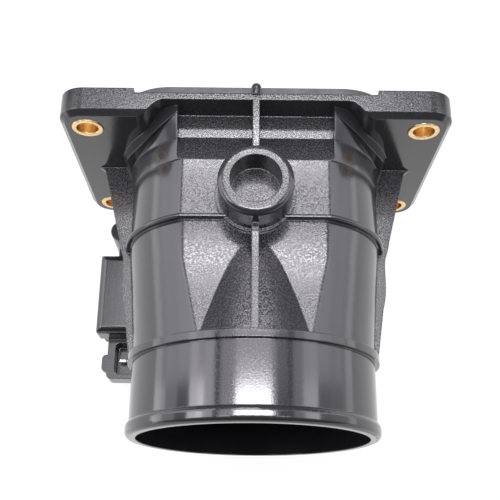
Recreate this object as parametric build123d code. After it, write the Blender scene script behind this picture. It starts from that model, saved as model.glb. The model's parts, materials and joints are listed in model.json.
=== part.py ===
from build123d import *
import math
import os

# Mass airflow sensor of the vortex-counting kind, lying on its electronics cover.
# Origin: centre of the flange's mounting face, on the flow axis.
# +X across the flange, +Y out of the inlet, +Z up, away from the cover. Millimetres.

# ---- flange and its bushes
FLANGE_WIDTH = 124.4
FLANGE_DEPTH = 75.6
FLANGE_THICKNESS = 9.2
FLANGE_CORNER_R = 8.0
FLANGE_CHAMFER = 1.8
WEB_SET_BACK = 1.6
WEB_THICKNESS = 2.2
NOTCH_HALF = 38.2
PAD_INNER_HALF = 37.5
PAD_SLOPE_RUN = 9.0
BOLT_SPACING_X = 107.0
BOLT_SPACING_Z = 57.4
BUSH_OD = 10.1
BUSH_ID = 6.7
BUSH_PROUD = 0.3
BUSH_CHAMFER = 0.4

# ---- collar under the flange and the rubber seal on its face
COLLAR_PROUD = 4.4
COLLAR_FRONT_Y = -6.4
COLLAR_SIDE_Y = -13.6
COLLAR_SLOPE_RUN = 12.4
COLLAR_BEND = 3.0
COLLAR_TIP_X = 42.5
SEAL_WIDTH = 88.4
SEAL_DEPTH = 66.4
SEAL_CORNER_R = 17.0
SEAL_SECTION = 3.4
SEAL_LIP = 1.8
SEAL_GROOVE = 1.6
SEAL_BASE_PROUD = 1.4
SEAL_PROUD = 3.4

# ---- duct body: two flats joined by round sides, then round
WALL = 2.4
FLAT_Z = 30.3
SIDE_R = 34.0
SIDE_CENTRE = 7.5
TAPER_TOP = -41.1
RING_TOP = -77.5
LOWER_FLAT_Z = 34.5
LOWER_R = 38.4
LOWER_FLAT_HALF = 16.4
TAPER_BENDS = ((-54.0, 21.6), (-60.0, 20.3))
TAPER_TOP_HALF = 22.0
FLAT_EDGE_ROUND = 2.4
CONE_TOP = -47.0
CONE_TOP_R = 30.9
CONE_FOOT_R = 37.84
RING_THICKNESS = 2.4
RING_R = 40.0
TUBE_R = 38.6
MOUTH_R = 36.3
MOUTH_Y = -102.8
BEAD_HEIGHT = 4.6
BEAD_R = 39.6
BEAD_ROUND = 1.6

# ---- recessed pad, band and ribs on the front
PAD_FACE_Z = 27.9
PAD_HALF = 24.7
PAD_BOTTOM = -11.9
SLOPE_BOTTOM = -20.7
BELT_TOP = -39.6
BELT_PROUD = 1.7
BELT_ROUND = 0.7
STEP_DEPTH = 0.4
STEP_TOP_PROUD = 1.3
RIB_THICKNESS = 2.1
RIB_UPPER_Z = 37.6
RIB_LOWER_Z = 37.0
RIB_FOOT_Z = 39.6
FIN_THICKNESS = 2.4
FIN_TOP_HALF = 54.0
FIN_SHOULDER_HALF = 52.2
FIN_SHOULDER_DROP = 1.4
FIN_BELT_HALF = 45.7
FIN_BELT_Y = -36.4
FIN_NECK_HALF = 43.8
FIN_NECK_TOP = -46.0
FIN_NECK_BOTTOM = -51.0
FIN_FOOT_HALF = 42.6
FIN_FOOT_Y = -60.0

# ---- front boss and moulding gate
BOSS_Y = -33.2
BOSS_R = 11.4
BOSS_FACE_Z = 43.1
BOSS_ROUND = 2.0
BOSS_FOOT_R = 12.4
BOSS_FOOT_Z = 31.7
BOSS_BORE_R = 7.7
BOSS_BORE_DEPTH = 9.0
GATE_R = 1.6
GATE_Z = 37.3
GATE_TOP = 2.3
GATE_BOTTOM = -2.1

# ---- inlet: frame, flow grid and the ledge that carries it
LEDGE = 1.0
FRAME_SEAT_STEP = 1.4
FRAME_HEIGHT = 3.0
GRID_HEIGHT = 10.0
LEDGE_HEIGHT = 3.0
INLET_TAPER = 8.0
FRAME_LAND = 2.6
SLIP_FIT = 0.1
CELL_SIZE = 3.8
CELL_WALL = 0.5
GRID_RIM = 1.2

# ---- vortex column, its sensor and the air temperature probe
COLUMN_TOP = -26.0
COLUMN_LENGTH = 10.0
COLUMN_WIDTH = 12.0
COLUMN_NOSE = 2.4
PORT_Y = -31.0
SENSOR_CASE_WIDTH = 14.0
SENSOR_CASE_DEPTH = 7.2
SENSOR_CASE_HEIGHT = 5.4
NIPPLE_R = 2.0
NIPPLE_REACH = 7.0
PORT_CLEARANCE = 0.15
PROBE_X = 15.0
PROBE_Y = -34.0
PROBE_R = 2.2
PROBE_REACH = 4.0
NECK_R = 0.9
NECK_LENGTH = 5.0
BEAD_SENSOR_R = 1.6
GUARD_R = 5.2
GUARD_FOOT = 1.2
GUARD_HEIGHT = 14.5
GUARD_POST = 1.6

# ---- electronics tray behind the duct
TRAY_LEFT = -44.0
TRAY_RIGHT = 36.0
TRAY_TOP = -24.0
TRAY_BOTTOM = -66.0
TRAY_START_Z = -28.0
TRAY_RIM_Z = -45.5
TRAY_WALL = 2.0
TRAY_CORNER_R = 2.5
BLOCK_LEFT = -56.4
BLOCK_TOP = -32.2
BLOCK_BOTTOM = -61.9
BLOCK_FACE_Z = -24.0
BLOCK_ROUND = 2.6
BLOCK_CORNER_R = 1.0
BLOCK_FOOT_Z = -33.5
SIDE_STEP = 2.8
DEEP_FLOOR_Z = -33.0
SHALLOW_FLOOR_Z = -39.0
DEEP_FLOOR_END = -42.0
BOARD_LEDGE = 1.4
BOARD_THICKNESS = 1.6
BOARD_TOP_Z = -39.6
BOARD_CLEARANCE = 0.25

# ---- connector socket on the tray
SOCKET_LEFT = -52.8
SOCKET_WIDTH = 15.6
SOCKET_BOTTOM = -76.7
SOCKET_FACE_Z = -33.0
SOCKET_FOOT_Z = -41.0
SOCKET_HOLE_LEFT = -50.0
SOCKET_HOLE_WIDTH = 10.2
SOCKET_HOLE_TOP = -63.6
SOCKET_HOLE_BOTTOM = -74.9
SOCKET_FLOOR_Z = -39.5
SOCKET_CORNER_R = 1.5
LATCH_PROUD = 1.9
LATCH_TOP = -68.0
LATCH_BOTTOM = -74.2
LATCH_DEPTH = 4.0
LATCH_ROUND = 1.6
BLADE_COUNT = 3
BLADE_PITCH = 2.75
BLADE_WIDTH = 2.2
BLADE_THICKNESS = 0.8
BLADE_Y = -69.5
BLADE_TIP_Z = -36.0
BLADE_FIRST_X = -47.6
BLADE_OVERLAP = 2.2

# ---- cover, its gasket, vent and screws
GASKET_THICKNESS = 0.8
COVER_THICKNESS = 3.0
COVER_EDGE = 0.6
EAR_R = 3.9
EAR_Z = -34.0
LUG_X = -49.4
LUG_Y = -23.0
EAR_REACH = 2.6
EAR_SIDE_TOP = -30.0
EAR_SIDE_BOTTOM = -60.0
EAR_FRONT_X = -24.0
EAR_PLACES = [(LUG_X, LUG_Y), (TRAY_RIGHT + EAR_REACH, EAR_SIDE_TOP),
              (TRAY_RIGHT + EAR_REACH, EAR_SIDE_BOTTOM), (EAR_FRONT_X, TRAY_BOTTOM - EAR_REACH)]
SCREW_R = 1.4
SCREW_LENGTH = 10.0
SCREW_HEAD_R = 2.8
SCREW_HEAD_HEIGHT = 1.8
SCREW_HEAD_GAP = 0.2
DRIVE_R = 1.2
DRIVE_DEPTH = 1.0
VENT_X = -12.0
VENT_Y = -44.0
VENT_R = 4.0
VENT_DEPTH = 1.0
VENT_HOLE_R = 1.5

# ---- components on the board, placed on a grid of BOARD_GRID
BOARD_GRID = 2.0
CHIP_X = 8.0
CHIP_Y = -50.0
CHIP_WIDTH = 14.0
CHIP_DEPTH = 8.0
CHIP_HEIGHT = 2.2
LEAD_COUNT = 7
LEAD_WIDTH = 0.8
LEAD_SPAN = 11.0
LEAD_HEIGHT = 0.5
BARO_WIDTH = 9.0
BARO_HEIGHT = 2.6
BARO_PORT_R = 1.6
BARO_PORT_HEIGHT = 4.0
SMALL_PART = (3.0, 2.0, 1.2)
MEDIUM_PART = (5.0, 3.0, 1.8)
LARGE_PART = (7.0, 5.0, 2.8)
CAN_R = 3.2
CAN_HEIGHT = 4.2

# ---- values that follow from the ones above
COVER_TOP_Z = TRAY_RIM_Z - GASKET_THICKNESS
COVER_BOTTOM_Z = COVER_TOP_Z - COVER_THICKNESS
BOARD_BOTTOM_Z = BOARD_TOP_Z - BOARD_THICKNESS
INLET_FLAT_Z = PAD_FACE_Z - WALL
INNER_FLAT_Z = FLAT_Z - WALL
FRAME_TOP = -SEAL_GROOVE
GRID_TOP = FRAME_TOP - FRAME_HEIGHT
GRID_BOTTOM = GRID_TOP - GRID_HEIGHT
LEDGE_BOTTOM = GRID_BOTTOM - LEDGE_HEIGHT
EPS = 0.01


def prism_y(shape, top, bottom):
    """Extrude a sketch drawn across the flow from one station down to another."""
    return extrude(Plane.XZ.offset(-top) * shape, amount=top - bottom)


def prism_z(shape, low, high):
    """Extrude a sketch drawn in plan from one height up to another."""
    return extrude(Plane.XY.offset(low) * shape, amount=high - low)


def disc_z(x, y, radius, low, high):
    """Cylinder standing along Z."""
    return prism_z(Pos(x, y) * Circle(radius), low, high)


def block(x0, x1, y0, y1, z0, z1):
    """Box from its six faces."""
    return Pos((x0 + x1) / 2, (y0 + y1) / 2, (z0 + z1) / 2) * Box(x1 - x0, y1 - y0, z1 - z0)


def round_sided(flat, centre, radius):
    """Section with two flats joined by one round side left and right."""
    half = centre + math.sqrt(radius ** 2 - flat ** 2)
    side = centre + radius
    outline = Line((-half, flat), (half, flat))
    outline += ThreePointArc((half, flat), (side, 0), (half, -flat))
    outline += Line((half, -flat), (-half, -flat))
    outline += ThreePointArc((-half, -flat), (-side, 0), (-half, flat))
    return make_face(outline)


def body_section(grow):
    """Body section, grown outwards or, below zero, inwards."""
    return round_sided(FLAT_Z + grow, SIDE_CENTRE, SIDE_R + grow)


def inlet_section(grow):
    """Inside section of the inlet, which is flatter than the body."""
    return round_sided(INLET_FLAT_Z + grow, SIDE_CENTRE, SIDE_R - WALL + grow)


def lower_section(grow):
    """Round section with flats where the taper meets the ring."""
    return round_sided(LOWER_FLAT_Z + grow, 0, LOWER_R + grow)


def rounded(section):
    """Section with its sharp corners rounded."""
    return fillet(section.vertices(), FLAT_EDGE_ROUND)


def taper_section(y, flat_half):
    """Outer section of the taper at a height, from the half width of its flats."""
    share = (TAPER_TOP - y) / (TAPER_TOP - RING_TOP)
    flat = FLAT_Z + share * (LOWER_FLAT_Z - FLAT_Z)
    side = SIDE_CENTRE + SIDE_R + share * (LOWER_R - SIDE_CENTRE - SIDE_R)
    reach = side - flat_half
    radius = (reach ** 2 + flat ** 2) / (2 * reach)
    return rounded(round_sided(flat, side - radius, radius))


def taper():
    """Outer form from the belt to the ring, whose flats narrow along a bent line."""
    stations = [(TAPER_TOP, TAPER_TOP_HALF), *TAPER_BENDS, (RING_TOP, LOWER_FLAT_HALF)]
    return loft([Plane.XZ.offset(-y) * taper_section(y, half) for y, half in stations], ruled=True)


def loft_y(upper, top, lower, bottom):
    """Straight loft between two sections across the flow."""
    return loft([Plane.XZ.offset(-top) * upper, Plane.XZ.offset(-bottom) * lower], ruled=True)


def cone_y(top, top_r, bottom, bottom_r):
    """Cone about the flow axis."""
    outline = Polyline((0, top), (top_r, top), (bottom_r, bottom), (0, bottom), close=True)
    return revolve(make_face(outline), Axis.Y)


def tube_bead():
    """Hose bead at the outlet, with rounded edges."""
    ring = prism_y(Circle(BEAD_R), MOUTH_Y + BEAD_HEIGHT, MOUTH_Y)
    return fillet(ring.edges().filter_by(GeomType.CIRCLE), BEAD_ROUND)


def flange():
    """Mounting flange: thick corner pads and a thin web between them."""
    plate = prism_y(RectangleRounded(FLANGE_WIDTH, FLANGE_DEPTH, FLANGE_CORNER_R), 0, -FLANGE_THICKNESS)
    plate = chamfer(plate.edges().group_by(Axis.Y)[0], FLANGE_CHAMFER)
    web_top = -WEB_SET_BACK
    web_bottom = web_top - WEB_THICKNESS
    below = -FLANGE_THICKNESS - EPS
    flat_end = PAD_INNER_HALF - PAD_SLOPE_RUN
    bend = PAD_SLOPE_RUN * 0.45
    under = Line((-flat_end, web_bottom), (flat_end, web_bottom))
    under += Bezier((flat_end, web_bottom), (flat_end + bend, web_bottom),
                    (PAD_INNER_HALF - bend, below), (PAD_INNER_HALF, below))
    under += Line((PAD_INNER_HALF, below), (-PAD_INNER_HALF, below))
    under += Bezier((-PAD_INNER_HALF, below), (bend - PAD_INNER_HALF, below),
                    (-flat_end - bend, web_bottom), (-flat_end, web_bottom))
    plate -= extrude(make_face(under), amount=FLANGE_DEPTH, both=True)
    plate -= block(-NOTCH_HALF, NOTCH_HALF, web_top, EPS, -FLANGE_DEPTH, FLANGE_DEPTH)
    return plate


def collar():
    """Wall that carries the flange; its lower edge falls from the pad to the sides."""
    top = -WEB_SET_BACK
    low = COLLAR_SIDE_Y - EPS
    wall = prism_y(body_section(COLLAR_PROUD), top, COLLAR_SIDE_Y)
    half = SIDE_CENTRE + SIDE_R + COLLAR_PROUD
    corner = PAD_HALF + COLLAR_SLOPE_RUN
    bend_y = COLLAR_BEND * (COLLAR_FRONT_Y - low) / COLLAR_SLOPE_RUN
    below = Polyline((half, COLLAR_FRONT_Y), (COLLAR_TIP_X, low), (corner + COLLAR_BEND, low))
    below += Bezier((corner + COLLAR_BEND, low), (corner, low), (corner - COLLAR_BEND, low + bend_y))
    below += Line((corner - COLLAR_BEND, low + bend_y), (PAD_HALF, COLLAR_FRONT_Y))
    below += Polyline((PAD_HALF, COLLAR_FRONT_Y), (0, COLLAR_FRONT_Y), (0, low - 1), (half, low - 1),
                      (half, COLLAR_FRONT_Y))
    cut = extrude(make_face(below), amount=FLANGE_DEPTH, both=True)
    wall -= cut
    wall -= mirror(cut, Plane.YZ)
    flare = loft_y(body_section(COLLAR_PROUD), COLLAR_FRONT_Y, body_section(STEP_TOP_PROUD), COLLAR_SIDE_Y)
    return wall + flare


def pad_recess():
    """Space in front of the recessed pad, closed by the sloping band below it."""
    top = -WEB_SET_BACK - WEB_THICKNESS
    front = FLANGE_DEPTH
    side = Polyline((top, PAD_FACE_Z), (top, front), (SLOPE_BOTTOM, front), (SLOPE_BOTTOM, FLAT_Z),
                    (PAD_BOTTOM, PAD_FACE_Z), close=True)
    cut = extrude(Plane.YZ * make_face(side), amount=PAD_HALF, both=True)
    return cut


def duct_outside():
    """Outer form of the duct from the flange to the hose bead."""
    shape = prism_y(rounded(body_section(0)), -WEB_SET_BACK, TAPER_TOP)
    shape += loft_y(body_section(STEP_TOP_PROUD), PAD_BOTTOM, body_section(STEP_DEPTH), SLOPE_BOTTOM)
    shape += taper()
    shape += cone_y(CONE_TOP, CONE_TOP_R, RING_TOP, CONE_FOOT_R)
    belt = prism_y(rounded(body_section(BELT_PROUD)), BELT_TOP, TAPER_TOP)
    shape += fillet(belt.edges().group_by(Axis.Y)[0] + belt.edges().group_by(Axis.Y)[-1], BELT_ROUND)
    shape += prism_y(Circle(RING_R), RING_TOP, RING_TOP - RING_THICKNESS)
    shape += prism_y(Circle(TUBE_R), RING_TOP, MOUTH_Y + BEAD_HEIGHT / 2)
    shape += tube_bead()
    return shape


def duct_inside():
    """Air space of the duct, with the seats for the frame and the grid."""
    space = prism_y(inlet_section(FRAME_SEAT_STEP), EPS, GRID_TOP)
    space += prism_y(inlet_section(0), GRID_TOP, GRID_BOTTOM)
    space += prism_y(inlet_section(-LEDGE), GRID_BOTTOM, LEDGE_BOTTOM)
    space += loft_y(inlet_section(-LEDGE), LEDGE_BOTTOM, body_section(-WALL), LEDGE_BOTTOM - INLET_TAPER)
    space += prism_y(body_section(-WALL), LEDGE_BOTTOM - INLET_TAPER, TAPER_TOP)
    space += loft_y(body_section(-WALL), TAPER_TOP, lower_section(-WALL), RING_TOP)
    space += cone_y(CONE_TOP, CONE_TOP_R - WALL, RING_TOP, LOWER_R - WALL)
    space += prism_y(Circle(LOWER_R - WALL), RING_TOP, RING_TOP - RING_THICKNESS)
    space += cone_y(RING_TOP - RING_THICKNESS, LOWER_R - WALL, MOUTH_Y, MOUTH_R)
    return space


def side_fins():
    """One upright fin on each side, from the flange down to the ring."""
    under = -FLANGE_THICKNESS
    top = -WEB_SET_BACK - WEB_THICKNESS / 2
    inner = SIDE_CENTRE + CONE_TOP_R - WALL / 2
    bend = (FIN_BELT_Y - FIN_NECK_TOP) / 2
    outer = Polyline((RING_R, RING_TOP), (inner, RING_TOP), (inner, top),
                     (FIN_TOP_HALF, top), (FIN_TOP_HALF, under),
                     (FIN_SHOULDER_HALF, under - FIN_SHOULDER_DROP), (FIN_BELT_HALF, FIN_BELT_Y))
    outer += Bezier((FIN_BELT_HALF, FIN_BELT_Y), (FIN_NECK_HALF + FIN_THICKNESS / 2, FIN_BELT_Y - bend),
                    (FIN_NECK_HALF, FIN_NECK_TOP + bend), (FIN_NECK_HALF, FIN_NECK_TOP))
    outer += Line((FIN_NECK_HALF, FIN_NECK_TOP), (FIN_NECK_HALF, FIN_NECK_BOTTOM))
    outer += Bezier((FIN_NECK_HALF, FIN_NECK_BOTTOM), (FIN_NECK_HALF, FIN_NECK_BOTTOM - bend),
                    (FIN_FOOT_HALF, FIN_FOOT_Y))
    outer += Line((FIN_FOOT_HALF, FIN_FOOT_Y), (RING_R, RING_TOP))
    fin = extrude(make_face(outer), amount=FIN_THICKNESS / 2, both=True)
    return fin + mirror(fin, Plane.YZ)


def front_rib():
    """Thin rib down the middle of the front, above and below the boss."""
    half = RIB_THICKNESS / 2
    back = PAD_FACE_Z - WALL / 2
    upper = block(-half, half, BOSS_Y, -WEB_SET_BACK - EPS, back, RIB_UPPER_Z)
    side = Polyline((BOSS_Y, back), (BOSS_Y, RIB_LOWER_Z), (CONE_TOP, RIB_LOWER_Z), (RING_TOP, RIB_FOOT_Z),
                    (RING_TOP, CONE_TOP_R), (CONE_TOP, back), close=True)
    return upper + extrude(Plane.YZ * make_face(side), amount=half, both=True)


def front_boss():
    """Round boss on the front flat."""
    boss = disc_z(0, BOSS_Y, BOSS_R, FLAT_Z - WALL / 2, BOSS_FACE_Z)
    boss = fillet(boss.edges().group_by(Axis.Z)[-1], BOSS_ROUND)
    return boss + disc_z(0, BOSS_Y, BOSS_FOOT_R, FLAT_Z - WALL / 2, BOSS_FOOT_Z)


def gate_stub():
    """Round-headed stub left by the moulding gate on the flange edge."""
    centre = GATE_TOP - GATE_R
    return prism_y(Pos(0, GATE_Z) * Circle(GATE_R), centre, GATE_BOTTOM) + Pos(0, centre, GATE_Z) * Sphere(GATE_R)


def tray_outline(inset=0.0):
    """Plan of the tray without its ears, set in from its edge."""
    main = Pos((TRAY_LEFT + TRAY_RIGHT) / 2, (TRAY_TOP + TRAY_BOTTOM) / 2) * RectangleRounded(
        TRAY_RIGHT - TRAY_LEFT - 2 * inset, TRAY_TOP - TRAY_BOTTOM - 2 * inset, TRAY_CORNER_R + TRAY_WALL - inset)
    return main + side_block_outline(inset)


def side_block_outline(inset=0.0):
    """Plan of the side block at the tray's rim, where its lower wall is set back."""
    left = BLOCK_LEFT + inset
    right = TRAY_LEFT + TRAY_CORNER_R + inset
    bottom = BLOCK_BOTTOM + SIDE_STEP
    return Pos((left + right) / 2, (BLOCK_TOP + bottom) / 2) * Rectangle(
        right - left, BLOCK_TOP - bottom - 2 * inset)


def ear_outline(inset=0.0):
    """Plan of the screw ears and the web that ties the upper left one to the side block."""
    ears = Sketch()
    for x, y in EAR_PLACES:
        ears += Pos(x, y) * Circle(EAR_R - inset)
    link = LUG_Y - BLOCK_TOP + TRAY_WALL + inset
    ears += Pos(LUG_X, LUG_Y - link / 2) * Rectangle(EAR_R, link)
    return ears


def side_block():
    """Head of the block that stands out to the left of the duct."""
    right = TRAY_LEFT + TRAY_CORNER_R
    plan = Pos((BLOCK_LEFT + right) / 2, (BLOCK_TOP + BLOCK_BOTTOM) / 2) * Rectangle(
        right - BLOCK_LEFT, BLOCK_TOP - BLOCK_BOTTOM)
    head = prism_z(plan, BLOCK_FOOT_Z, BLOCK_FACE_Z)
    head = fillet(head.edges().filter_by(Axis.Z).group_by(Axis.X)[0], BLOCK_CORNER_R)
    lower_edge = head.faces().sort_by(Axis.Z)[-1].edges().sort_by(Axis.Y)[0]
    return fillet(lower_edge, BLOCK_ROUND)


def socket_shell():
    """Closed block of the connector socket with its latch."""
    right = SOCKET_LEFT + SOCKET_WIDTH
    centre = (SOCKET_LEFT + right) / 2
    top = BLOCK_BOTTOM + TRAY_WALL + SIDE_STEP
    bottom = SOCKET_BOTTOM + SIDE_STEP
    head = Pos(centre, (SOCKET_BOTTOM + top) / 2) * RectangleRounded(
        SOCKET_WIDTH, top - SOCKET_BOTTOM, SOCKET_CORNER_R)
    root = Pos(centre, (bottom + top) / 2) * Rectangle(SOCKET_WIDTH - 2 * SOCKET_CORNER_R, top - bottom)
    latch = Pos(SOCKET_LEFT, (LATCH_TOP + LATCH_BOTTOM) / 2) * RectangleRounded(
        2 * LATCH_PROUD, LATCH_TOP - LATCH_BOTTOM, LATCH_ROUND)
    shape = prism_z(head, SOCKET_FOOT_Z, SOCKET_FACE_Z) + prism_z(root, TRAY_RIM_Z, SOCKET_FOOT_Z + EPS)
    return shape + prism_z(latch, SOCKET_FACE_Z - LATCH_DEPTH, SOCKET_FACE_Z)


def tray_outside():
    """Closed block of the tray, the side block, the ears and the socket."""
    shape = prism_z(tray_outline(), TRAY_RIM_Z, TRAY_START_Z)
    shape += prism_z(side_block_outline(), TRAY_RIM_Z, BLOCK_FACE_Z - BLOCK_ROUND)
    shape += side_block()
    shape += prism_z(ear_outline(), TRAY_RIM_Z, EAR_Z)
    shape += disc_z(LUG_X, LUG_Y, EAR_R, TRAY_RIM_Z, BLOCK_FACE_Z)
    return shape + socket_shell()


def tray_inside():
    """Pocket for the board, deeper over the flat of the duct and in the side block."""
    board_space = prism_z(tray_outline(TRAY_WALL), TRAY_RIM_Z - EPS, BOARD_TOP_Z)
    inner = tray_outline(TRAY_WALL + BOARD_LEDGE)
    shallow = prism_z(inner, BOARD_TOP_Z - EPS, SHALLOW_FLOOR_Z)
    deep_zone = block(TRAY_LEFT + TRAY_WALL, TRAY_RIGHT, DEEP_FLOOR_END, TRAY_TOP, BOARD_TOP_Z, DEEP_FLOOR_Z)
    side_zone = block(BLOCK_LEFT, TRAY_LEFT, BLOCK_BOTTOM, BLOCK_TOP, BOARD_TOP_Z, BLOCK_FACE_Z - TRAY_WALL)
    deep = prism_z(inner, BOARD_TOP_Z - EPS, BLOCK_FACE_Z) & (deep_zone + side_zone)
    return board_space + shallow + deep


def socket_inside():
    """Socket hole that a plug enters from above."""
    right = SOCKET_HOLE_LEFT + SOCKET_HOLE_WIDTH
    plan = Pos((SOCKET_HOLE_LEFT + right) / 2, (SOCKET_HOLE_TOP + SOCKET_HOLE_BOTTOM) / 2) * RectangleRounded(
        SOCKET_HOLE_WIDTH, SOCKET_HOLE_TOP - SOCKET_HOLE_BOTTOM, SOCKET_CORNER_R)
    return prism_z(plan, SOCKET_FLOOR_Z, SOCKET_FACE_Z + EPS)


def bolt_places():
    """Centres of the four flange holes, as X and Z."""
    half_x = BOLT_SPACING_X / 2
    half_z = BOLT_SPACING_Z / 2
    return [(-half_x, half_z), (half_x, half_z), (-half_x, -half_z), (half_x, -half_z)]


def seal_plan(inset):
    """Outline of the seal, set in from its outer edge."""
    return RectangleRounded(SEAL_WIDTH - 2 * inset, SEAL_DEPTH - 2 * inset, SEAL_CORNER_R - inset)


def main_body(blades):
    """The one-piece moulding."""
    body = flange() + collar() + duct_outside()
    body -= pad_recess()
    body += side_fins() + front_rib() + front_boss() + gate_stub()
    body += tray_outside()
    body -= duct_inside()
    body -= tray_inside()
    body -= socket_inside()
    body -= disc_z(0, BOSS_Y, BOSS_BORE_R, BOSS_FACE_Z - BOSS_BORE_DEPTH, BOSS_FACE_Z + EPS)
    for x, z in bolt_places():
        body -= prism_y(Pos(x, z) * Circle(BUSH_OD / 2), EPS, -FLANGE_THICKNESS - EPS)
    body -= prism_y(seal_plan(0), EPS, -SEAL_GROOVE)
    floor = DEEP_FLOOR_Z - EPS
    body -= disc_z(0, PORT_Y, NIPPLE_R + PORT_CLEARANCE, floor, -INNER_FLAT_Z + EPS)
    body -= disc_z(PROBE_X, PROBE_Y, PROBE_R + PORT_CLEARANCE, floor, -INNER_FLAT_Z + EPS)
    for x, y in EAR_PLACES:
        body -= disc_z(x, y, SCREW_R, TRAY_RIM_Z - EPS, screw_tip_z())
    for blade in blades:
        body -= blade
    return body


def screw_tip_z():
    """Height of the screw tips inside the ears."""
    return COVER_BOTTOM_Z + SCREW_HEAD_HEIGHT + SCREW_HEAD_GAP + SCREW_LENGTH


def flange_bush(x, z):
    """Brass compression bush in one flange hole."""
    low = -FLANGE_THICKNESS - BUSH_PROUD
    ring = prism_y(Pos(x, z) * (Circle(BUSH_OD / 2) - Circle(BUSH_ID / 2)), 0, low)
    return chamfer(ring.edges().group_by(Axis.Y)[0], BUSH_CHAMFER / 2)


def inlet_seal():
    """Rubber face seal with a raised lip along its outer edge."""
    base = prism_y(seal_plan(0) - seal_plan(SEAL_SECTION), SEAL_BASE_PROUD, -SEAL_GROOVE)
    lip = prism_y(seal_plan(0) - seal_plan(SEAL_LIP), SEAL_PROUD, SEAL_BASE_PROUD)
    return base + lip


def grid_frame():
    """Frame that holds the flow grid down on its ledge."""
    ring = inlet_section(FRAME_SEAT_STEP - SLIP_FIT) - inlet_section(FRAME_SEAT_STEP - FRAME_LAND)
    return prism_y(ring, FRAME_TOP, GRID_TOP)


def flow_grid():
    """Honeycomb that straightens the air."""
    outline = inlet_section(-SLIP_FIT)
    pitch = CELL_SIZE + CELL_WALL
    row_step = pitch * math.sqrt(3) / 2
    rows = int(INLET_FLAT_Z // row_step)
    columns = int((SIDE_CENTRE + SIDE_R) // pitch) + 1
    cells = []
    for row in range(-rows, rows + 1):
        for column in range(-columns, columns + 1):
            place = ((column + 0.5 * (row % 2)) * pitch, row * row_step)
            if cell_fits(place):
                cells.append(Pos(*place) * RegularPolygon(CELL_SIZE / 2, 6, major_radius=False, rotation=30))
    return prism_y(outline - cells, GRID_TOP, GRID_BOTTOM)


def cell_fits(place):
    """True where a whole cell lies inside the grid's rim."""
    reach = GRID_RIM + CELL_SIZE / math.sqrt(3)
    x, z = place
    if abs(z) > INLET_FLAT_Z - reach:
        return False
    side = max(abs(x) - SIDE_CENTRE, 0)
    return math.hypot(side, z) < SIDE_R - WALL - reach


def vortex_column():
    """Wedge-shaped column across the duct that sheds the vortices."""
    half = COLUMN_WIDTH / 2
    tail = COLUMN_NOSE / 2
    bottom = COLUMN_TOP - COLUMN_LENGTH
    plan = Polyline((-half, COLUMN_TOP), (half, COLUMN_TOP), (half, COLUMN_TOP - COLUMN_NOSE / 2),
                    (tail, bottom), (-tail, bottom), (-half, COLUMN_TOP - COLUMN_NOSE / 2), close=True)
    column = prism_z(make_face(plan), -INNER_FLAT_Z, INNER_FLAT_Z)
    column -= disc_z(0, PORT_Y, NIPPLE_R + PORT_CLEARANCE, -INNER_FLAT_Z - EPS, -INNER_FLAT_Z + NIPPLE_REACH + 1)
    return column


def vortex_sensor():
    """Pressure transducer on the board with its nipple in the column."""
    case_top = BOARD_TOP_Z + SENSOR_CASE_HEIGHT
    half = SENSOR_CASE_WIDTH / 2
    end = TRAY_TOP - TRAY_WALL - BOARD_LEDGE - BOARD_CLEARANCE
    case = block(-half, half, end - SENSOR_CASE_DEPTH, end, BOARD_TOP_Z, case_top)
    nipple = disc_z(0, PORT_Y, NIPPLE_R, case_top - EPS, -INNER_FLAT_Z + NIPPLE_REACH)
    return case + nipple


def temperature_sensor():
    """Thermistor bead on a stem that stands on the board."""
    stem_top = -INNER_FLAT_Z + PROBE_REACH
    neck_top = stem_top + NECK_LENGTH
    stem = disc_z(PROBE_X, PROBE_Y, PROBE_R, BOARD_TOP_Z, stem_top)
    neck = disc_z(PROBE_X, PROBE_Y, NECK_R, stem_top - EPS, neck_top)
    bead = Pos(PROBE_X, PROBE_Y, neck_top) * Sphere(BEAD_SENSOR_R)
    return stem + neck + bead


def temperature_guard():
    """Open hoop over the thermistor."""
    wall = -INNER_FLAT_Z
    top = wall + GUARD_HEIGHT
    foot = disc_z(PROBE_X, PROBE_Y, GUARD_R, wall, wall + GUARD_FOOT)
    foot -= disc_z(PROBE_X, PROBE_Y, PROBE_R + PORT_CLEARANCE, wall - EPS, wall + GUARD_FOOT + EPS)
    half = GUARD_POST / 2
    guard = foot
    for side in (-1, 1):
        x = PROBE_X + side * (GUARD_R - half)
        guard += block(x - half, x + half, PROBE_Y - half, PROBE_Y + half, wall, top)
    guard += block(PROBE_X - GUARD_R, PROBE_X + GUARD_R, PROBE_Y - half, PROBE_Y + half, top - GUARD_POST, top)
    return guard


def circuit_board():
    """Board that lies on the tray's ledge."""
    return prism_z(tray_outline(TRAY_WALL + BOARD_CLEARANCE), BOARD_BOTTOM_Z, BOARD_TOP_Z)


def on_board(x, y, width, depth, height):
    """Component on the board's cover side."""
    return block(x - width / 2, x + width / 2, y - depth / 2, y + depth / 2, BOARD_BOTTOM_Z - height, BOARD_BOTTOM_Z)


def control_ic():
    """Processing chip with two rows of leads."""
    chip = on_board(CHIP_X, CHIP_Y, CHIP_WIDTH, CHIP_DEPTH, CHIP_HEIGHT)
    for index in range(LEAD_COUNT):
        step = (index - (LEAD_COUNT - 1) / 2) * BOARD_GRID
        chip += on_board(CHIP_X + step, CHIP_Y, LEAD_WIDTH, LEAD_SPAN, LEAD_HEIGHT)
    return chip


def barometric_sensor():
    """Ambient pressure sensor with its port."""
    port = disc_z(VENT_X, VENT_Y, BARO_PORT_R, BOARD_BOTTOM_Z - BARO_PORT_HEIGHT, BOARD_BOTTOM_Z)
    return on_board(VENT_X, VENT_Y, BARO_WIDTH, BARO_WIDTH, BARO_HEIGHT) + port


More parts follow.
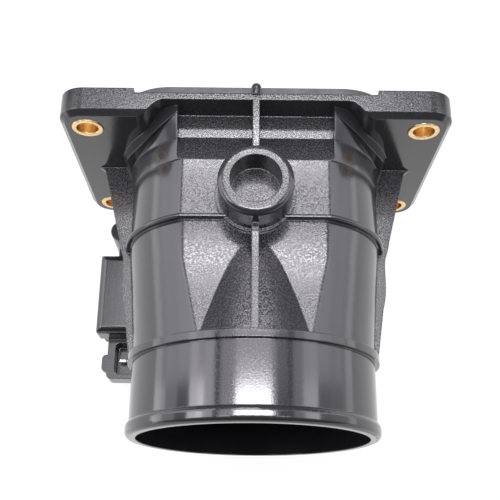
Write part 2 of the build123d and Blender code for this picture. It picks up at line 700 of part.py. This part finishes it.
def board_parts():
    """Small components that stand apart on the board."""
    places = [(12, -17, MEDIUM_PART), (12, -20, MEDIUM_PART), (12, -23, SMALL_PART), (14, -26, SMALL_PART),
              (-1, -17, MEDIUM_PART), (-12, -18, LARGE_PART), (-16, -23, SMALL_PART), (-16, -26, SMALL_PART),
              (-10, -28, MEDIUM_PART)]
    parts = [on_board(column * BOARD_GRID, row * BOARD_GRID, *size) for column, row, size in places]
    parts.append(disc_z(-18 * BOARD_GRID, -17 * BOARD_GRID, CAN_R, BOARD_BOTTOM_Z - CAN_HEIGHT, BOARD_BOTTOM_Z))
    return parts


def terminal_blade(index):
    """Bent terminal from the socket to the board."""
    x = BLADE_FIRST_X + index * BLADE_PITCH
    half_w = BLADE_WIDTH / 2
    half_t = BLADE_THICKNESS / 2
    low = BOARD_BOTTOM_Z - BLADE_THICKNESS
    end = BLOCK_BOTTOM + SIDE_STEP + TRAY_WALL + BLADE_OVERLAP
    post = block(x - half_w, x + half_w, BLADE_Y - half_t, BLADE_Y + half_t, low, BLADE_TIP_Z)
    leg = block(x - half_w, x + half_w, BLADE_Y, end, low, BOARD_BOTTOM_Z)
    return post + leg


def cover_plan(inset=0.0):
    """Plan of the cover and its gasket land."""
    return tray_outline(inset) + ear_outline(inset)


def cover_seal():
    """Flat gasket between the tray's rim and the cover."""
    ring = prism_z(cover_plan() - tray_outline(TRAY_WALL), COVER_TOP_Z, TRAY_RIM_Z)
    for x, y in EAR_PLACES:
        ring -= disc_z(x, y, SCREW_R, COVER_TOP_Z - EPS, TRAY_RIM_Z + EPS)
    return ring


def electronics_cover():
    """Flat cover that the part lies on."""
    step = COVER_BOTTOM_Z + COVER_EDGE
    plate = prism_z(cover_plan(), step, COVER_TOP_Z) + prism_z(cover_plan(COVER_EDGE), COVER_BOTTOM_Z, step)
    head_top = COVER_BOTTOM_Z + SCREW_HEAD_HEIGHT + SCREW_HEAD_GAP
    for x, y in EAR_PLACES:
        plate -= disc_z(x, y, SCREW_R, COVER_BOTTOM_Z, COVER_TOP_Z + EPS)
        plate -= disc_z(x, y, SCREW_HEAD_R + SLIP_FIT, COVER_BOTTOM_Z - EPS, head_top)
    plate -= disc_z(VENT_X, VENT_Y, VENT_HOLE_R, COVER_BOTTOM_Z - EPS, COVER_TOP_Z + EPS)
    plate -= disc_z(VENT_X, VENT_Y, VENT_R, COVER_TOP_Z - VENT_DEPTH, COVER_TOP_Z + EPS)
    return plate


def vent_membrane():
    """Disc that lets the air pressure through the cover."""
    return disc_z(VENT_X, VENT_Y, VENT_R, COVER_TOP_Z - VENT_DEPTH, COVER_TOP_Z)


def cover_screw(x, y):
    """Tapping screw with a round head and a square recess."""
    head_low = COVER_BOTTOM_Z + SCREW_HEAD_GAP
    head_top = head_low + SCREW_HEAD_HEIGHT
    head = disc_z(x, y, SCREW_HEAD_R, head_low, head_top)
    shank = disc_z(x, y, SCREW_R, head_top - EPS, screw_tip_z())
    recess = prism_z(Pos(x, y) * RegularPolygon(DRIVE_R, 6), head_low - EPS, head_low + DRIVE_DEPTH)
    return head + shank - recess


def all_parts():
    """Every sub-part under its node name."""
    blades = [terminal_blade(index) for index in range(BLADE_COUNT)]
    parts = {"main_body": main_body(blades)}
    for index, (x, z) in enumerate(bolt_places()):
        parts[f"flange_bush_{index + 1}"] = flange_bush(x, z)
    parts["inlet_seal"] = inlet_seal()
    parts["grid_frame"] = grid_frame()
    parts["flow_grid"] = flow_grid()
    parts["vortex_column"] = vortex_column()
    parts["vortex_sensor"] = vortex_sensor()
    parts["temperature_sensor"] = temperature_sensor()
    parts["temperature_guard"] = temperature_guard()
    parts["circuit_board"] = circuit_board()
    parts["control_ic"] = control_ic()
    parts["barometric_sensor"] = barometric_sensor()
    parts["board_parts"] = Compound(children=board_parts())
    for index, blade in enumerate(blades):
        parts[f"terminal_blade_{index + 1}"] = blade
    parts["cover_seal"] = cover_seal()
    parts["electronics_cover"] = electronics_cover()
    parts["vent_membrane"] = vent_membrane()
    for index, (x, y) in enumerate(EAR_PLACES):
        parts[f"cover_screw_{index + 1}"] = cover_screw(x, y)
    return parts


def main():
    os.makedirs("parts", exist_ok=True)
    for name, shape in all_parts().items():
        export_step(shape, f"parts/{name}.step")


if __name__ == "__main__":
    main()
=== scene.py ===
import json
import math

import bmesh
import bpy
from mathutils import Matrix, Vector

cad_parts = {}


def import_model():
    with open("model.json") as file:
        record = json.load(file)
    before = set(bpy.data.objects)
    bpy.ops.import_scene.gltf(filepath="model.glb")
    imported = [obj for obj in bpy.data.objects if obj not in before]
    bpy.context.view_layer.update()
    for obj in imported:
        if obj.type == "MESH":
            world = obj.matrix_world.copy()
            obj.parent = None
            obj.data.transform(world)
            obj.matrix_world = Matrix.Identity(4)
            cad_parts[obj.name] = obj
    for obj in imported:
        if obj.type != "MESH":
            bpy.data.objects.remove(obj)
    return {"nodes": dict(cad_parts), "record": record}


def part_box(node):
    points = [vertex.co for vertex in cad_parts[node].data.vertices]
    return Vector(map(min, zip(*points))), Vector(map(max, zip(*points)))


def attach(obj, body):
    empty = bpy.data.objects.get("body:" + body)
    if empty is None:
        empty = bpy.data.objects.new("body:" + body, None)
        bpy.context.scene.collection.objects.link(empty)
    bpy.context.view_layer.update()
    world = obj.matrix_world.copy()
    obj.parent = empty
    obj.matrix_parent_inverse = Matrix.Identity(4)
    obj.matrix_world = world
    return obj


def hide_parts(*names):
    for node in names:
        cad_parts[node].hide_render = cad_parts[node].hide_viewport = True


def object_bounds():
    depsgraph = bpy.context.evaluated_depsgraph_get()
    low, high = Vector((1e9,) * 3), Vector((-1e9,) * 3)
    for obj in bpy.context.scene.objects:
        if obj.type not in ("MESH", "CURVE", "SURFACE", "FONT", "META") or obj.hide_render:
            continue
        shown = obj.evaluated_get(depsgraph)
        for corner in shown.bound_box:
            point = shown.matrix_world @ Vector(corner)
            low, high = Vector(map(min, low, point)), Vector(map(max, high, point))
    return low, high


MM = 0.001

# ---- camera: place in millimetres, angles in degrees
CAMERA_PLACE = (-2.3, -136.4, 252.8)
CAMERA_PITCH = 21.02
CAMERA_YAW = 0.20
CAMERA_ROLL = 0.52
CAMERA_LENS = 57.6

# ---- light: panels overhead in millimetres: the columns' edges in X, then for each strip of Y its two
# ends and one brightness for each column
CEILING_Z = 340
CEILING_COLUMNS = (-185, -118, -92, 92, 118, 185)
CEILING = [
    (-170, -103, (6.0, 0.0, 0.0, 0.0, 4.0)),
    (-103, -66, (2.5, 2.0, 12.0, 2.0, 0.0)),
    (-66, -33, (2.5, 2.0, 26.0, 2.0, 0.0)),
    (-33, 30, (2.0, 2.2, 3.2, 1.8, 0.8)),
    (30, 90, (1.0, 2.6, 6.0, 3.4, 3.5)),
    (90, 138, (0.0, 2.6, 1.7, 1.0, 0.0)),
    (138, 165, (0.0, 5.0, 24.0, 6.0, 3.0)),
    (165, 200, (1.5, 0.0, 0.0, 0.0, 0.8)),
    (200, 260, (0.4, 0.3, 0.0, 0.3, 0.3)),
    (260, 340, (0.3, 0.0, 2.0, 0.0, 0.3)),
]

# ---- light: panels round both sides: angles from overhead in degrees, then for each strip of Y its two
# ends and one brightness for each step of angle
SIDE_REACH = 380
SIDE_ANGLES = (33, 42, 48, 56, 68, 82, 96)
SIDE_LEFT = [
    (-170, -20, (3.4, 7.4, 5.6, 0.2, 1.2, 2.6)),
    (-20, 170, (3.0, 2.4, 3.4, 2.4, 2.0, 1.5)),
]
SIDE_RIGHT = [
    (-170, -20, (1.3, 3.6, 3.8, 0.5, 0.7, 1.0)),
    (-20, 170, (1.4, 2.4, 2.6, 2.0, 1.6, 1.2)),
]
WORLD_BRIGHT = 0.25
WORLD_DIM = 0.04
FLOOR_GLOW = 0.92
LAMP_COLOR = (1.01, 0.99, 1.055)

# ---- body finish: where the grain starts behind the neck (Y) and in front of the side block (Z), in metres
NECK_EDGE = (-0.079, -0.077)
REAR_EDGE = (-0.018, -0.014)

# ---- screws in millimetres
SCREW_HEAD_R = 2.8
SCREW_HEAD_HEIGHT = 1.8
SCREW_CORE_R = 1.1
THREAD_R = 1.4
THREAD_PITCH = 1.1
THREAD_TURN_STEPS = 24
DRIVE_R = 1.15
DRIVE_DEPTH = 1.0

# ---- board components in millimetres: the board's lower face and the parts on it
BOARD_Z = -41.2
CHIP_PLACE = (8.0, -50.0)
CHIP_SIZE = (14.0, 8.0, 2.2)
CHIP_LEADS = 7
CHIP_PITCH = 2.0
CHIP_LEAD_SPAN = 11.0
CHIP_LEAD_WIDTH = 0.8
SMALL_PART = (3.0, 2.0, 1.2)
MEDIUM_PART = (5.0, 3.0, 1.8)
LARGE_PART = (7.0, 5.0, 2.8)
BOARD_PARTS = [
    (24, -34, MEDIUM_PART), (24, -40, MEDIUM_PART), (24, -46, SMALL_PART), (28, -52, SMALL_PART),
    (-2, -34, MEDIUM_PART), (-24, -36, LARGE_PART), (-32, -46, SMALL_PART), (-32, -52, SMALL_PART),
    (-20, -56, MEDIUM_PART),
]
CAN_PLACE = (-36, -34)
CAN_R = 3.2
CAN_HEIGHT = 4.2

# ---- tab on the inlet seal in millimetres
TAB_X = (14.0, 21.0)
TAB_Y = (0.1, 1.5)
TAB_Z = (32.6, 34.2)


def put(obj):
    """Link an object to the scene."""
    bpy.context.scene.collection.objects.link(obj)
    return obj


# ---------------------------------------------------------------- materials
def new_material(name, color, roughness, metallic=0.0):
    """A principled material and its shader node."""
    material = bpy.data.materials.new(name)
    material.use_nodes = True
    shader = material.node_tree.nodes["Principled BSDF"]
    shader.inputs["Base Color"].default_value = (*color, 1)
    shader.inputs["Roughness"].default_value = roughness
    shader.inputs["Metallic"].default_value = metallic
    return material, shader


def add_node(material, kind, **values):
    """A node with its plain input values set by name."""
    node = material.node_tree.nodes.new(kind)
    for key, value in values.items():
        node.inputs[key.replace("_", " ")].default_value = value
    return node


def link(material, source, target):
    material.node_tree.links.new(source, target)


def object_noise(material, scale, detail=2.0, roughness=0.5, stretch=(1, 1, 1)):
    """Noise in the object's own metres, stretched along its axes."""
    place = material.node_tree.nodes.new("ShaderNodeTexCoord")
    mapping = material.node_tree.nodes.new("ShaderNodeMapping")
    mapping.inputs["Scale"].default_value = stretch
    noise = add_node(material, "ShaderNodeTexNoise", Scale=scale, Detail=detail, Roughness=roughness)
    link(material, place.outputs["Object"], mapping.inputs["Vector"])
    link(material, mapping.outputs["Vector"], noise.inputs["Vector"])
    return noise.outputs["Fac"]


def ramp(material, factor, low, high, start=0.0, end=1.0):
    """Colour ramp between two greys or colours."""
    node = material.node_tree.nodes.new("ShaderNodeValToRGB")
    node.color_ramp.elements[0].position = start
    node.color_ramp.elements[1].position = end
    node.color_ramp.elements[0].color = (*low, 1)
    node.color_ramp.elements[1].color = (*high, 1)
    link(material, factor, node.inputs["Fac"])
    return node.outputs["Color"]


def grey(value):
    return (value, value, value)


def bump(material, shader, height, strength, distance, under=None):
    """Bump on the shader's normal."""
    node = add_node(material, "ShaderNodeBump", Strength=strength, Distance=distance)
    link(material, height, node.inputs["Height"])
    if under is not None:
        link(material, under, node.inputs["Normal"])
    link(material, node.outputs["Normal"], shader.inputs["Normal"])
    return node.outputs["Normal"]


def soft_edges(material, radius):
    """Normals rounded over sharp edges."""
    node = material.node_tree.nodes.new("ShaderNodeBevel")
    node.samples = 6
    node.inputs["Radius"].default_value = radius
    return node.outputs["Normal"]


def multiply(material, first, second):
    """Product of two factors."""
    node = material.node_tree.nodes.new("ShaderNodeMath")
    node.operation = "MULTIPLY"
    link(material, first, node.inputs[0])
    link(material, second, node.inputs[1])
    return node.outputs["Value"]


def coordinate(material, kind, axis):
    """One axis of the object's position or normal."""
    place = material.node_tree.nodes.new("ShaderNodeTexCoord")
    parts = material.node_tree.nodes.new("ShaderNodeSeparateXYZ")
    link(material, place.outputs[kind], parts.inputs["Vector"])
    return parts.outputs[axis]


def step(material, value, edge, low):
    """Rises from a low factor to one across an edge, both in the value's own units."""
    node = material.node_tree.nodes.new("ShaderNodeMapRange")
    node.inputs["From Min"].default_value, node.inputs["From Max"].default_value = edge
    node.inputs["To Min"].default_value = low
    link(material, value, node.inputs["Value"])
    return node.outputs["Result"]


def body_plastic():
    """Black glass-filled moulding: grain on the flats, smoother on the drawn sides and the neck."""
    material, shader = new_material("body_plastic", (0.012, 0.012, 0.014), 0.15)
    shader.inputs["Specular IOR Level"].default_value = 0.75
    grain = object_noise(material, 1900, 2.0, 0.7)
    neck = neck_mask(material)
    streaks = object_noise(material, 420, 3.0, 0.6, (1, 0.16, 1))
    specks = ramp(material, grain, grey(0.0), grey(1.0), 0.47, 0.66)
    grained = multiply(material, multiply(material, flat_mask(material), front_mask(material)), neck)
    flat = multiply(material, specks, grained)
    color = ramp(material, flat, (0.017, 0.017, 0.019), (0.046, 0.045, 0.049), 0.0, 1.0)
    link(material, color, shader.inputs["Base Color"])
    rough = ramp(material, neck, grey(0.105), grey(0.15), 0.0, 1.0)
    link(material, rough, shader.inputs["Roughness"])
    fine = bump(material, shader, flat, 0.35, 0.00004, soft_edges(material, 0.0005))
    bump(material, shader, streaks, 0.2, 0.00006, fine)
    return material


def flat_mask(material):
    """One where the surface faces up, little on the drawn sides."""
    return ramp(material, coordinate(material, "Normal", "Z"), grey(0.15), grey(1.0), 0.90, 0.98)


def front_mask(material):
    """Low on the side block and socket at the rear, one on the rest of the body."""
    return step(material, coordinate(material, "Object", "Z"), REAR_EDGE, 0.15)


def neck_mask(material):
    """Low on the hose neck, one on the rest of the body."""
    return step(material, coordinate(material, "Object", "Y"), NECK_EDGE, 0.25)


def plain_plastic(name, color, roughness):
    """Smooth moulded plastic with a little unevenness."""
    material, shader = new_material(name, color, roughness)
    cloud = object_noise(material, 140, 3.0, 0.6)
    rough = ramp(material, cloud, grey(roughness - 0.05), grey(roughness + 0.08), 0.3, 0.7)
    link(material, rough, shader.inputs["Roughness"])
    bump(material, shader, cloud, 0.1, 0.00005, soft_edges(material, 0.0003))
    return material


def seal_rubber():
    """Grey-green moulded rubber."""
    material, shader = new_material("seal_rubber", (0.05, 0.054, 0.052), 0.5)
    cloud = object_noise(material, 300, 4.0, 0.6)
    color = ramp(material, cloud, (0.036, 0.040, 0.039), (0.075, 0.080, 0.078), 0.3, 0.75)
    link(material, color, shader.inputs["Base Color"])
    bump(material, shader, cloud, 0.15, 0.0001, soft_edges(material, 0.0004))
    return material


def turned_brass():
    """Pale brass with fine turning lines."""
    material, shader = new_material("bush_brass", (0.83, 0.60, 0.30), 0.28, 1.0)
    lines = object_noise(material, 900, 2.0, 0.5, (1, 6, 1))
    color = ramp(material, lines, (0.72, 0.47, 0.22), (0.92, 0.72, 0.42), 0.3, 0.7)
    link(material, color, shader.inputs["Base Color"])
    bump(material, shader, lines, 0.12, 0.00005, soft_edges(material, 0.0003))
    return material


def plated_metal(name, color, roughness):
    """Plated steel or foil with faint streaks."""
    material, shader = new_material(name, color, roughness, 1.0)
    streaks = object_noise(material, 500, 3.0, 0.6, (1, 4, 1))
    rough = ramp(material, streaks, grey(roughness - 0.08), grey(roughness + 0.12), 0.3, 0.7)
    link(material, rough, shader.inputs["Roughness"])
    bump(material, shader, streaks, 0.08, 0.00004, soft_edges(material, 0.0001))
    return material


def board_mask():
    """Green solder mask over copper tracks."""
    material, shader = new_material("board", (0.02, 0.12, 0.045), 0.3)
    tracks = object_noise(material, 350, 1.0, 0.4, (1, 5, 1))
    color = ramp(material, tracks, (0.012, 0.085, 0.03), (0.03, 0.17, 0.06), 0.47, 0.53)
    link(material, color, shader.inputs["Base Color"])
    bump(material, shader, tracks, 0.2, 0.00005)
    return material


def make_materials():
    """Every material by its record slot."""
    return {
        "body_plastic": body_plastic(),
        "cover_plastic": plain_plastic("cover_plastic", (0.018, 0.018, 0.020), 0.3),
        "frame_plastic": plain_plastic("frame_plastic", (0.016, 0.016, 0.018), 0.3),
        "seal_rubber": seal_rubber(),
        "grid_metal": plated_metal("grid_metal", (0.72, 0.73, 0.75), 0.3),
        "bush_brass": turned_brass(),
        "screw_steel": plated_metal("screw_steel", (0.52, 0.53, 0.55), 0.32),
        "terminal_tin": plated_metal("terminal_tin", (0.75, 0.75, 0.73), 0.25),
        "board": board_mask(),
        "chip": plain_plastic("chip", (0.02, 0.02, 0.021), 0.45),
        "sensor_case": plain_plastic("sensor_case", (0.06, 0.06, 0.065), 0.4),
        "sensor_bead": plain_plastic("sensor_bead", (0.25, 0.13, 0.05), 0.25),
        "vent": plain_plastic("vent", (0.75, 0.75, 0.72), 0.7),
    }


# ---------------------------------------------------------------- stage
def make_camera():
    """Camera above the part, tipped towards the flange."""
    pitch, yaw, roll = (math.radians(a) for a in (CAMERA_PITCH, CAMERA_YAW, CAMERA_ROLL))
    forward = Vector((math.sin(yaw) * math.cos(pitch), math.sin(pitch), -math.cos(yaw) * math.cos(pitch)))
    right = Vector((math.cos(yaw), 0, math.sin(yaw)))
    up = right.cross(forward)
    turn = Matrix.Rotation(-roll, 3, forward)
    right, up = turn @ right, turn @ up
    camera = put(bpy.data.objects.new("camera", bpy.data.cameras.new("camera")))
    camera.data.lens = CAMERA_LENS
    camera.data.sensor_width = 36
    camera.data.clip_start = 0.01
    matrix = Matrix((right, up, -forward)).transposed().to_4x4()
    matrix.translation = Vector(CAMERA_PLACE) * MM
    camera.matrix_world = matrix
    bpy.context.scene.camera = camera


def area_light(name, place, target, width, depth, brightness):
    """Soft rectangular lamp aimed at a point, with one brightness all over."""
    lamp = bpy.data.lights.new(name, "AREA")
    lamp.shape = "RECTANGLE"
    lamp.size = width * MM
    lamp.size_y = depth * MM
    lamp.color = LAMP_COLOR
    lamp.energy = brightness * math.pi * lamp.size * lamp.size_y
    obj = put(bpy.data.objects.new(name, lamp))
    obj.location = Vector(place) * MM
    aim = (Vector(target) - Vector(place)).normalized()
    across = Vector((1, 0, 0))
    up = across.cross(aim).normalized()
    across = aim.cross(up)
    obj.rotation_mode = "QUATERNION"
    obj.rotation_quaternion = Matrix((across, up, -aim)).transposed().to_quaternion()


def make_lights():
    """Studio panels over and beside the part and a soft surround."""
    ceiling_panels()
    side_panels("left", -1, SIDE_LEFT)
    side_panels("right", 1, SIDE_RIGHT)
    make_surround()
    bpy.context.scene.view_settings.view_transform = "Standard"


def ceiling_panels():
    """Flat panels overhead."""
    for y0, y1, row in CEILING:
        for x0, x1, brightness in zip(CEILING_COLUMNS, CEILING_COLUMNS[1:], row):
            if brightness > 0:
                place = ((x0 + x1) / 2, (y0 + y1) / 2, CEILING_Z)
                area_light("ceiling_panel", place, (place[0], place[1], 0), x1 - x0, y1 - y0, brightness)


def side_panels(side, sign, strips):
    """Panels along an arc on one side."""
    for y0, y1, row in strips:
        for a0, a1, brightness in zip(SIDE_ANGLES, SIDE_ANGLES[1:], row):
            if brightness > 0:
                angle = math.radians((a0 + a1) / 2)
                y = (y0 + y1) / 2
                place = (sign * SIDE_REACH * math.sin(angle), y, SIDE_REACH * math.cos(angle))
                width = SIDE_REACH * math.radians(a1 - a0)
                area_light(f"{side}_panel", place, (0, y, 0.5), width, y1 - y0, brightness)


def make_surround():
    """Pale walls all round, darker towards the outlet end of the part."""
    world = bpy.data.worlds.new("studio")
    world.use_nodes = True
    background = world.node_tree.nodes["Background"]
    place = world.node_tree.nodes.new("ShaderNodeTexCoord")
    parts = world.node_tree.nodes.new("ShaderNodeSeparateXYZ")
    level = world.node_tree.nodes.new("ShaderNodeMapRange")
    level.interpolation_type = "SMOOTHSTEP"
    level.inputs["From Min"].default_value = -0.85
    level.inputs["From Max"].default_value = -0.15
    level.inputs["To Min"].default_value = WORLD_DIM
    level.inputs["To Max"].default_value = WORLD_BRIGHT
    world.node_tree.links.new(place.outputs["Generated"], parts.inputs["Vector"])
    world.node_tree.links.new(parts.outputs["Y"], level.inputs["Value"])
    world.node_tree.links.new(level.outputs["Result"], background.inputs["Strength"])
    background.inputs["Color"].default_value = (*LAMP_COLOR, 1)
    bpy.context.scene.world = world


def make_floor(level):
    """Plain pale floor under the part."""
    mesh = bpy.data.meshes.new("floor")
    reach = 3.0
    corners = [(-reach, -reach, level), (reach, -reach, level), (reach, reach, level), (-reach, reach, level)]
    mesh.from_pydata(corners, [], [(0, 1, 2, 3)])
    floor = put(bpy.data.objects.new("floor", mesh))
    material, shader = new_material("floor", (0.12, 0.12, 0.12), 0.9)
    shader.inputs["Emission Color"].default_value = (1, 1, 1, 1)
    shader.inputs["Emission Strength"].default_value = FLOOR_GLOW
    mesh.materials.append(material)


# ---------------------------------------------------------------- pieces
def make_piece(name, bm, material, slot, *nodes):
    """Object from a mesh in millimetres that rides on the part and stands for some nodes."""
    mesh = bpy.data.meshes.new(name)
    bmesh.ops.recalc_face_normals(bm, faces=bm.faces)
    bm.to_mesh(mesh)
    bm.free()
    mesh.transform(Matrix.Scale(MM, 4))
    mesh.materials.append(material)
    piece = put(bpy.data.objects.new(name, mesh))
    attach(piece, "root")
    if nodes:
        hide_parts(*nodes)
    return piece


def bevelled(piece, width, segments=2):
    """Rounded edges in millimetres as a modifier."""
    modifier = piece.modifiers.new("rounded_edges", "BEVEL")
    modifier.width = width * MM
    modifier.segments = segments
    modifier.limit_method = "ANGLE"
    return piece


def add_box(bm, low, high):
    """Box between two corners."""
    size = Vector(high) - Vector(low)
    middle = (Vector(high) + Vector(low)) / 2
    matrix = Matrix.Translation(middle) @ Matrix.Diagonal((*size, 1))
    bmesh.ops.create_cube(bm, size=1, matrix=matrix)


def add_rings(bm, rings, closed_start=True, closed_end=True):
    """Skin over rings of points that all have the same count."""
    rows = [[bm.verts.new(point) for point in ring] for ring in rings]
    count = len(rows[0])
    for upper, lower in zip(rows, rows[1:]):
        for step in range(count):
            after = (step + 1) % count
            bm.faces.new((upper[step], upper[after], lower[after], lower[step]))
    if closed_start:
        bm.faces.new(rows[0])
    if closed_end:
        bm.faces.new(list(reversed(rows[-1])))


def ring_at(x, y, z, radius, count, lobes=0, depth=0.0):
    """Level ring of points, round or with lobes."""
    points = []
    for step in range(count):
        angle = 2 * math.pi * step / count
        reach = radius * (1 + depth * math.cos(lobes * angle))
        points.append((x + reach * math.cos(angle), y + reach * math.sin(angle), z))
    return points


def screw_mesh(low, high):
    """Tapping screw with a domed head, a six-lobe recess and a cut thread."""
    bm = bmesh.new()
    x, y = (low.x + high.x) / 2, (low.y + high.y) / 2
    count = 48
    top = low.z + SCREW_HEAD_HEIGHT
    rings = [
        ring_at(x, y, low.z + DRIVE_DEPTH, DRIVE_R * 0.9, count, 6, 0.14),
        ring_at(x, y, low.z + 0.08, DRIVE_R, count, 6, 0.14),
        ring_at(x, y, low.z, DRIVE_R * 1.12, count, 6, 0.10),
        ring_at(x, y, low.z + 0.02, SCREW_HEAD_R * 0.62, count),
        ring_at(x, y, low.z + 0.20, SCREW_HEAD_R * 0.84, count),
        ring_at(x, y, low.z + 0.62, SCREW_HEAD_R * 0.96, count),
        ring_at(x, y, low.z + 1.1, SCREW_HEAD_R, count),
        ring_at(x, y, top, SCREW_HEAD_R, count),
        ring_at(x, y, top, THREAD_R, count),
    ]
    add_rings(bm, rings)
    steps = THREAD_TURN_STEPS
    rows = int((high.z - top) / THREAD_PITCH * 8)
    threads = []
    for row in range(rows + 1):
        z = top + (high.z - top) * row / rows
        fade = min(1.0, (rows - row) / 10)
        ring = []
        for step in range(steps):
            phase = ((z - top) / THREAD_PITCH - step / steps) % 1
            ridge = max(0.0, 1 - abs(phase - 0.5) * 4)
            radius = (SCREW_CORE_R + (THREAD_R - SCREW_CORE_R) * ridge) * (0.35 + 0.65 * fade)
            angle = 2 * math.pi * step / steps
            ring.append((x + radius * math.cos(angle), y + radius * math.sin(angle), z))
        threads.append(ring)
    add_rings(bm, threads)
    return bm


def make_screws(materials):
    """Detailed cover screws in place of the plain ones."""
    for index in range(1, 5):
        node = f"cover_screw_{index}"
        low, high = (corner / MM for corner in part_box(node))
        bm = screw_mesh(low, high)
        piece = make_piece(f"screw_{index}", bm, materials["screw_steel"], "screw_steel", node)
        for face in piece.data.polygons:
            face.use_smooth = True
        split = piece.modifiers.new("crisp_edges", "EDGE_SPLIT")
        split.split_angle = math.radians(38)


def make_seal_tab(materials):
    """Small moulded tab on the front of the inlet seal."""
    bm = bmesh.new()
    (x0, x1), (y0, y1), (z0, z1) = TAB_X, TAB_Y, TAB_Z
    slant = 1.4
    rings = []
    for z, inset in ((z0, 0.0), (z1 - 0.35, 0.0), (z1, 0.3)):
        rings.append([
            (x0 + inset, (y0 + y1) / 2, z),
            (x0 + slant + inset, y0 + inset, z),
            (x1 - slant - inset, y0 + inset, z),
            (x1 - inset, (y0 + y1) / 2, z),
            (x1 - slant - inset, y1 - inset, z),
            (x0 + slant + inset, y1 - inset, z),
        ])
    add_rings(bm, rings)
    bevelled(make_piece("seal_tab", bm, materials["seal_rubber"], "seal_rubber"), 0.15)


def make_chip(materials):
    """Processing chip with bent leads in place of the plain block."""
    x, y = CHIP_PLACE
    width, depth, height = CHIP_SIZE
    bm = bmesh.new()
    waist = BOARD_Z - height / 2
    rings = []
    for z, inset in ((BOARD_Z - 0.2, 0.35), (waist, 0.0), (BOARD_Z - height, 0.35)):
        half_w, half_d = width / 2 - inset, depth / 2 - inset
        rings.append([(x - half_w, y - half_d, z), (x + half_w, y - half_d, z),
                      (x + half_w, y + half_d, z), (x - half_w, y + half_d, z)])
    add_rings(bm, rings)
    bevelled(make_piece("chip_body", bm, materials["chip"], "chip", "control_ic"), 0.12)
    bm = bmesh.new()
    thick = 0.2
    for index in range(CHIP_LEADS):
        centre = x + (index - (CHIP_LEADS - 1) / 2) * CHIP_PITCH
        left, right = centre - CHIP_LEAD_WIDTH / 2, centre + CHIP_LEAD_WIDTH / 2
        for side in (-1, 1):
            path = [(depth / 2 - 0.3, waist), (depth / 2 + 0.3, waist), (depth / 2 + 0.7, BOARD_Z - thick),
                    (CHIP_LEAD_SPAN / 2, BOARD_Z - thick)]
            rings = []
            for reach, z in path:
                at = y + side * reach
                rings.append([(left, at, z), (right, at, z), (right, at, z + thick), (left, at, z + thick)])
            add_rings(bm, rings)
    make_piece("chip_leads", bm, materials["terminal_tin"], "terminal_tin", "control_ic")


def make_board_parts(materials):
    """Ceramic bodies, tinned ends and a can in place of the plain blocks."""
    bodies, ends = bmesh.new(), bmesh.new()
    for x, y, (width, depth, height) in BOARD_PARTS:
        cap = width * 0.18
        low, high = BOARD_Z - height, BOARD_Z
        half_w, half_d = width / 2, depth / 2
        corner = (x - half_w + cap, y - half_d + 0.06, low + 0.06)
        add_box(bodies, corner, (x + half_w - cap, y + half_d - 0.06, high))
        add_box(ends, (x - half_w, y - half_d, low), (x - half_w + cap, y + half_d, high))
        add_box(ends, (x + half_w - cap, y - half_d, low), (x + half_w, y + half_d, high))
    bevelled(make_piece("part_bodies", bodies, materials["chip"], "chip", "board_parts"), 0.1)
    bevelled(make_piece("part_ends", ends, materials["terminal_tin"], "terminal_tin", "board_parts"), 0.1)
    x, y = CAN_PLACE
    bm = bmesh.new()
    profile = [(0.86, 0.0), (1.0, 0.12), (1.0, 0.75), (0.93, 0.95), (1.0, 1.15), (1.0, CAN_HEIGHT - 0.35),
               (0.9, CAN_HEIGHT - 0.05), (0.82, CAN_HEIGHT), (0.78, CAN_HEIGHT - 0.1)]
    add_rings(bm, [ring_at(x, y, BOARD_Z - rise, CAN_R * share, 40) for share, rise in profile])
    can = make_piece("can_capacitor", bm, materials["grid_metal"], "grid_metal", "board_parts")
    for face in can.data.polygons:
        face.use_smooth = len(face.vertices) == 4


def dress_nodes(frame, materials):
    """Give each CAD node the material of its slot."""
    slots = {entry["node"]: entry["material_slot"] for entry in frame["record"]["subparts"]}
    for name, obj in frame["nodes"].items():
        obj.data.materials.clear()
        obj.data.materials.append(materials[slots[name]])


def main():
    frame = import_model()
    cad_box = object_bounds()
    make_camera()
    make_lights()
    make_floor(cad_box[0].z)
    materials = make_materials()
    dress_nodes(frame, materials)
    make_screws(materials)
    make_seal_tab(materials)
    make_chip(materials)
    make_board_parts(materials)


main()
